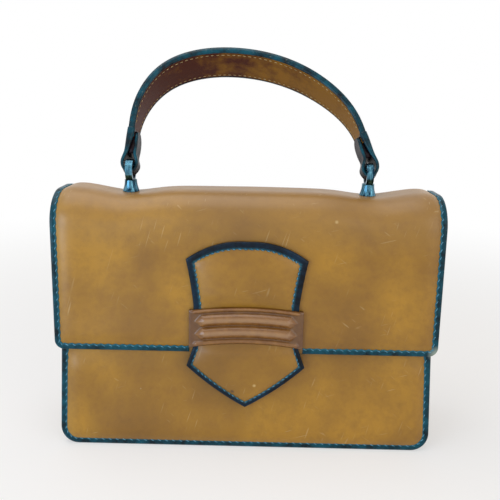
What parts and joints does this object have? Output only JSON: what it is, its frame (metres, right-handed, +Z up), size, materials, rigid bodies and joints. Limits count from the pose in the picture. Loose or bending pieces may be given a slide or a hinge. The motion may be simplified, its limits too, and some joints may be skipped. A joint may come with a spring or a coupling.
{
  "type": "leather flap handbag",
  "caption": "Small structured flap handbag with bound edges, a shield tab under a ribbed keeper band, and an arched top handle on two lugs.",
  "frame": {"origin": "middle of the base at the level of the ground, halfway between the two lower bound edges", "axes": "+X to the bag's right as seen from the front, +Y to the back, +Z up"},
  "size_m": [0.24, 0.0987, 0.2525],
  "materials": {
    "tan_leather": "smooth waxed calf leather, satin",
    "band_leather": "polished calf leather, glossy",
    "brown_leather": "dark brown leather, satin",
    "teal_binding": "edge-dyed teal binding leather, worn gloss",
    "lining_leather": "thin suede-finished lining",
    "board": "stiff fibre board",
    "steel_plate": "plain steel",
    "lug_metal": "polished plated metal",
    "snap_brass": "brass press stud"
  },
  "bodies": {
    "body": {"front_panel": "tan_leather", "back_panel": "tan_leather", "gusset": "tan_leather", "front_binding": "teal_binding", "back_binding": "teal_binding", "base_board": "board", "lining": "lining_leather", "snap_stud": "snap_brass", "snap_washer": "snap_brass"},
    "flap_body": {"flap": "tan_leather", "flap_lining": "lining_leather", "stiffening_plate": "steel_plate", "shield": "tan_leather", "shield_binding": "teal_binding", "keeper_band": "band_leather", "snap_socket": "snap_brass", "flap_binding_left": "teal_binding", "flap_binding_right": "teal_binding", "lug_left": "lug_metal", "lug_right": "lug_metal", "lug_washer_left": "steel_plate", "lug_washer_right": "steel_plate"},
    "handle": {"handle_strap": "tan_leather", "handle_lining": "brown_leather", "handle_binding_front": "teal_binding", "handle_binding_rear": "teal_binding", "loop_left": "brown_leather", "loop_right": "brown_leather"}
  },
  "joints": [
    {"name": "flap_hinge", "type": "hinge", "parent": "body", "child": "flap_body", "pos_m": [0, 0.0275, 0.14], "axis": [-1, 0, 0], "range_deg": [0, 110]},
    {"name": "handle_swing", "type": "hinge", "parent": "flap_body", "child": "handle", "pos_m": [0, 0.001, 0.1744], "axis": [-1, 0, 0], "range_deg": [-130, 50]}
  ]
}
